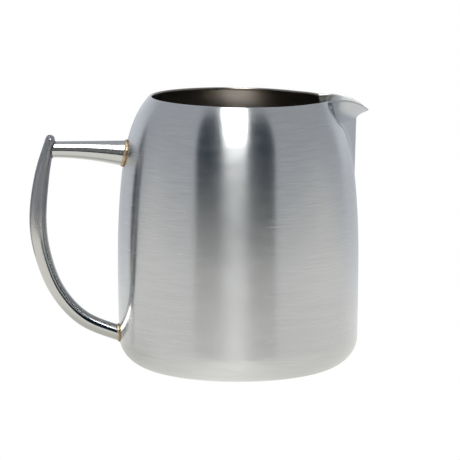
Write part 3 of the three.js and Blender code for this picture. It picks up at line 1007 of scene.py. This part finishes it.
# The camera, in metres from the jug's foot. Its shift is a share of the picture's width.
VIEW_TURN = math.radians(-5)
CAMERA_DISTANCE = 1.0
CAMERA_HEIGHT = 0.20154
CAMERA_PITCH = math.radians(-9.009)
CAMERA_LENS = 251.6
CAMERA_SENSOR = 36.0
CAMERA_SHIFT = -0.017761

# The floor, in metres. The mirrored sheet lies just above the seen one, and it starts
# short of the camera. Each level belongs to the pair of distances before it.
FLOOR_REACH = 6
FLOOR_SEEN_Z = -0.0004
FLOOR_MIRRORED_Z = -0.0002
FLOOR_MIRRORED_START = -0.28
# The foot and handle levels are painted shadows, and the middle level is a painted pool of light.
FOOT_SHADOW_DISTANCE = (0.04, 0.09)
FOOT_SHADOW_LEVEL = (0.93, 1.0)
FAR_DISTANCE = (0.14, 0.55)
FAR_LEVEL = (0.95, 0.76)
BEHIND_DISTANCE = (0.02, 0.25)
BEHIND_LEVEL = (1.0, 0.76)
MIDDLE_LIGHT_X = (-0.016, 0.010)
MIDDLE_LIGHT_SOFT = 0.012
MIDDLE_LIGHT_DISTANCE = (0.04, 0.06)
MIDDLE_LIGHT_LEVEL = (0.2, 0.0)
HANDLE_SHADOW_PLACE = (-0.052, 0.0, 0.0)
HANDLE_SHADOW_DISTANCE = (0.012, 0.04)
HANDLE_SHADOW_LEVEL = (0.8, 1.0)
COOL_DISTANCE = (0.02, 0.2)
FLOOR_WARM = (1.0, 0.985, 0.935)
FLOOR_COOL = (0.96, 0.985, 1.03)

# The dome, with its angles in degrees. Turn runs round the jug from the camera's side,
# lift is the height over the horizon, and side is the angle off the upright plane that
# the camera looks along. The strip and the gap below it fade out where a direction's Y
# passes the last two values, so that they are on the camera's side only.
DOME_RADIUS = 3.0
WALL_TURN = (-60, 60)
WALL_LEFT = (0.44, 0.46, 0.49)
WALL_RIGHT = (0.405, 0.425, 0.45)
BACK_TURN = (118, 136)
BACK_LIFT = (4, 38)
BACK_LIGHT = (0.70, 0.735, 0.79)
CEILING_LIFT = (56, 84)
CEILING_GREY = (0.50, 0.51, 0.54)
FLAG_TURN = (-40.5, 35)
FLAG_SOFT = 1.5
FLAG_WIDENING = 0.006
FLAG_TOP = (54, 67)
FLAG_DARK = (0.004, 0.016, 0.030)
GAP_SIDE = (-11.0, 7.2)
GAP_SIDE_SOFT = 3.0
GAP_LIFT = (-2, 46)
GAP_LIFT_SOFT = 4.0
GAP_GREY = (0.20, 0.205, 0.205)
STRIP_SIDE = (-11.5, 7.2)
STRIP_SIDE_SOFT = 0.8
STRIP_LIFT = (43, 77)
STRIP_LIFT_SOFT = 2.5
STRIP_LIGHT = (12.0, 12.0, 12.0)
FRONT_ENDS = (-0.12, -0.04)

# The dark card: its width and height in metres, its turn in degrees and its place
CARD_WIDTH = 0.018
CARD_HEIGHT = 0.1
CARD_TURN = 50
CARD_PLACE = (-0.134, 0.059, 0.0)
CARD_DARK = (0.02, 0.02, 0.025)


def make_camera():
    """The camera, which stands in front of the jug and looks slightly down."""
    data = bpy.data.cameras.new("camera")
    data.lens = CAMERA_LENS
    data.sensor_width = CAMERA_SENSOR
    data.shift_x = CAMERA_SHIFT
    camera = bpy.data.objects.new("camera", data)
    camera.location = (
        math.sin(VIEW_TURN) * CAMERA_DISTANCE,
        -math.cos(VIEW_TURN) * CAMERA_DISTANCE,
        CAMERA_HEIGHT,
    )
    camera.rotation_euler = (math.pi / 2 + CAMERA_PITCH, 0, VIEW_TURN)
    bpy.context.scene.collection.objects.link(camera)
    bpy.context.scene.camera = camera


def glowing(name):
    """A glowing material that isn't sampled as a lamp, with its nodes and its glow's inputs."""
    material, nodes = new_material(name)
    material.cycles.emission_sampling = "NONE"
    glow = nodes.add("ShaderNodeEmission")
    nodes.show(glow.outputs["Emission"])
    return material, nodes, glow.inputs


def plain_glow(name, color):
    """A glowing material of one colour."""
    material, _, glow = glowing(name)
    glow["Color"].default_value = (*color, 1.0)
    glow["Strength"].default_value = 1.0
    return material


def add_stage(name, mesh, material):
    """A part of the studio, which isn't part of the jug."""
    mesh.materials.append(material)
    thing = bpy.data.objects.new(name, mesh)
    bpy.context.scene.collection.objects.link(thing)
    return thing


def rectangle(name, x0, x1, y0, y1):
    """A level sheet."""
    mesh = bpy.data.meshes.new(name)
    mesh.from_pydata([(x0, y0, 0), (x1, y0, 0), (x1, y1, 0), (x0, y1, 0)], [], [(0, 1, 2, 3)])
    return mesh


def make_seen_floor():
    """The white sheet that the camera sees, and the steel doesn't."""
    sheet = rectangle("floor", -FLOOR_REACH, FLOOR_REACH, -FLOOR_REACH, FLOOR_REACH)
    floor = add_stage("floor", sheet, plain_glow("floor_white", (1.0, 1.0, 1.0)))
    floor.location.z = FLOOR_SEEN_Z
    floor.visible_glossy = False
    floor.visible_diffuse = False
    floor.visible_transmission = False


def make_mirrored_floor():
    """The sheet that only the steel mirrors, turned so that its +Y leads away from the
    camera. Its glow is painted light and shade: painted shadows darken it at the jug's
    foot and under the handle, it is darker far away and behind, a painted pool of light
    makes it paler at the foot's middle, and its tone goes from warm in front to cool behind."""
    material, nodes, glow = glowing("floor_mirrored")
    place = nodes.add("ShaderNodeTexCoord").outputs["Object"]
    axes = nodes.axes(place)
    away = nodes.length(place)
    # A painted shadow at the jug's foot, and darker far away and behind.
    level = nodes.math("MULTIPLY", nodes.ramp(away, *FOOT_SHADOW_DISTANCE, *FOOT_SHADOW_LEVEL),
                       nodes.ramp(away, *FAR_DISTANCE, *FAR_LEVEL))
    level = nodes.math("MULTIPLY", level, nodes.ramp(axes["Y"], *BEHIND_DISTANCE, *BEHIND_LEVEL))
    # A painted pool of light at the foot's middle.
    middle = nodes.band(axes["X"], *MIDDLE_LIGHT_X, MIDDLE_LIGHT_SOFT)
    middle = nodes.math("MULTIPLY", middle, nodes.ramp(away, *MIDDLE_LIGHT_DISTANCE, *MIDDLE_LIGHT_LEVEL))
    level = nodes.math("ADD", level, middle)
    # A painted shadow under the handle.
    from_handle_shadow = nodes.length(place, HANDLE_SHADOW_PLACE)
    level = nodes.math("MULTIPLY", level, nodes.ramp(from_handle_shadow, *HANDLE_SHADOW_DISTANCE, *HANDLE_SHADOW_LEVEL))
    nodes.link(level, glow["Strength"])
    cool = nodes.ramp(axes["Y"], *COOL_DISTANCE)
    nodes.link(nodes.mix(cool, FLOOR_WARM, FLOOR_COOL), glow["Color"])
    sheet = rectangle("floor_mirrored", -FLOOR_REACH, FLOOR_REACH, FLOOR_MIRRORED_START, FLOOR_REACH)
    floor = add_stage("floor_mirrored", sheet, material)
    floor.location.z = FLOOR_MIRRORED_Z
    floor.rotation_euler.z = VIEW_TURN
    floor.visible_camera = False


def studio_light():
    """Grey walls, a bright back and a paler ceiling. A wide dark flag stands on the
    camera's side, with a strip light high in its middle and a grey gap below that."""
    material, nodes, glow = glowing("studio_light")
    place = nodes.add("ShaderNodeTexCoord").outputs["Object"]
    direction = nodes.add("ShaderNodeVectorMath", operation="NORMALIZE")
    nodes.link(place, direction.inputs[0])
    x, y, z = (nodes.axes(direction.outputs["Vector"])[k] for k in "XYZ")
    degrees = 180 / math.pi
    turn = nodes.math("MULTIPLY", nodes.math("ARCTAN2", x, nodes.math("MULTIPLY", y, -1.0)), degrees)
    lift = nodes.math("MULTIPLY", nodes.math("ARCSINE", z), degrees)
    side = nodes.math("MULTIPLY", nodes.math("ARCSINE", x), degrees)
    front = nodes.ramp(y, *FRONT_ENDS, 1.0, 0.0)

    light = nodes.mix(nodes.ramp(turn, *WALL_TURN), WALL_LEFT, WALL_RIGHT)
    back = nodes.math("MULTIPLY", nodes.ramp(nodes.math("ABSOLUTE", turn), *BACK_TURN),
                      nodes.ramp(lift, *BACK_LIFT, 1.0, 0.0))
    light = nodes.mix(back, light, BACK_LIGHT)
    light = nodes.mix(nodes.ramp(lift, *CEILING_LIFT), light, CEILING_GREY)

    spread = nodes.math("ADD", nodes.math("MULTIPLY", lift, FLAG_WIDENING), 1.0)
    spread = nodes.math("DIVIDE", turn, spread)
    flag = nodes.math("MULTIPLY", nodes.band(spread, *FLAG_TURN, FLAG_SOFT),
                      nodes.ramp(lift, *FLAG_TOP, 1.0, 0.0))
    light = nodes.mix(flag, light, FLAG_DARK)
    gap = nodes.math("MULTIPLY", nodes.band(side, *GAP_SIDE, GAP_SIDE_SOFT),
                     nodes.band(lift, *GAP_LIFT, GAP_LIFT_SOFT))
    light = nodes.mix(nodes.math("MULTIPLY", gap, front), light, GAP_GREY)
    strip = nodes.math("MULTIPLY", nodes.band(side, *STRIP_SIDE, STRIP_SIDE_SOFT),
                       nodes.band(lift, *STRIP_LIFT, STRIP_LIFT_SOFT))
    light = nodes.mix(nodes.math("MULTIPLY", strip, front), light, STRIP_LIGHT)
    nodes.link(light, glow["Color"])
    return material


def make_studio():
    """A dome of light that only the steel mirrors."""
    mesh = bpy.data.meshes.new("studio")
    work = bmesh.new()
    bmesh.ops.create_icosphere(work, subdivisions=4, radius=DOME_RADIUS)
    work.to_mesh(mesh)
    work.free()
    dome = add_stage("studio", mesh, studio_light())
    dome.rotation_euler.z = VIEW_TURN
    dome.visible_camera = False


def make_dark_card():
    """A narrow dark card on the floor, behind and beside the handle. Only the steel
    mirrors it, as a dark line down the body."""
    across = math.radians(CARD_TURN)
    half_x = math.cos(across) * CARD_WIDTH / 2
    half_y = math.sin(across) * CARD_WIDTH / 2
    corners = [(-half_x, -half_y, 0), (half_x, half_y, 0),
               (half_x, half_y, CARD_HEIGHT), (-half_x, -half_y, CARD_HEIGHT)]
    mesh = bpy.data.meshes.new("dark_card")
    mesh.from_pydata(corners, [], [(0, 1, 2, 3)])
    card = add_stage("dark_card", mesh, plain_glow("card_dark", CARD_DARK))
    card.location = CARD_PLACE
    card.visible_camera = False


def make_world():
    """A white background, shown without any change of tone."""
    world = bpy.data.worlds.new("white")
    world.use_nodes = True
    background = world.node_tree.nodes["Background"].inputs
    background["Color"].default_value = (1, 1, 1, 1)
    background["Strength"].default_value = 1.0
    scene = bpy.context.scene
    scene.world = world
    scene.view_settings.view_transform = "Standard"
    scene.view_settings.look = "None"


make_camera()
make_world()
make_seen_floor()
make_mirrored_floor()
make_studio()
make_dark_card()
make_body_and_spout()
make_base_plate()
make_arm()
make_grip()
make_body_braze("braze_arm_to_body_bead", "braze_arm_to_body", arm_point, ARM_MEETS_BODY,
                reach=0.95, stand_off=0.32, seed=11)
make_body_braze("braze_grip_to_body_bead", "braze_grip_to_body", grip_point, GRIP_MEETS_BODY,
                reach=0.75, stand_off=0.35, seed=21)
make_grip_braze()
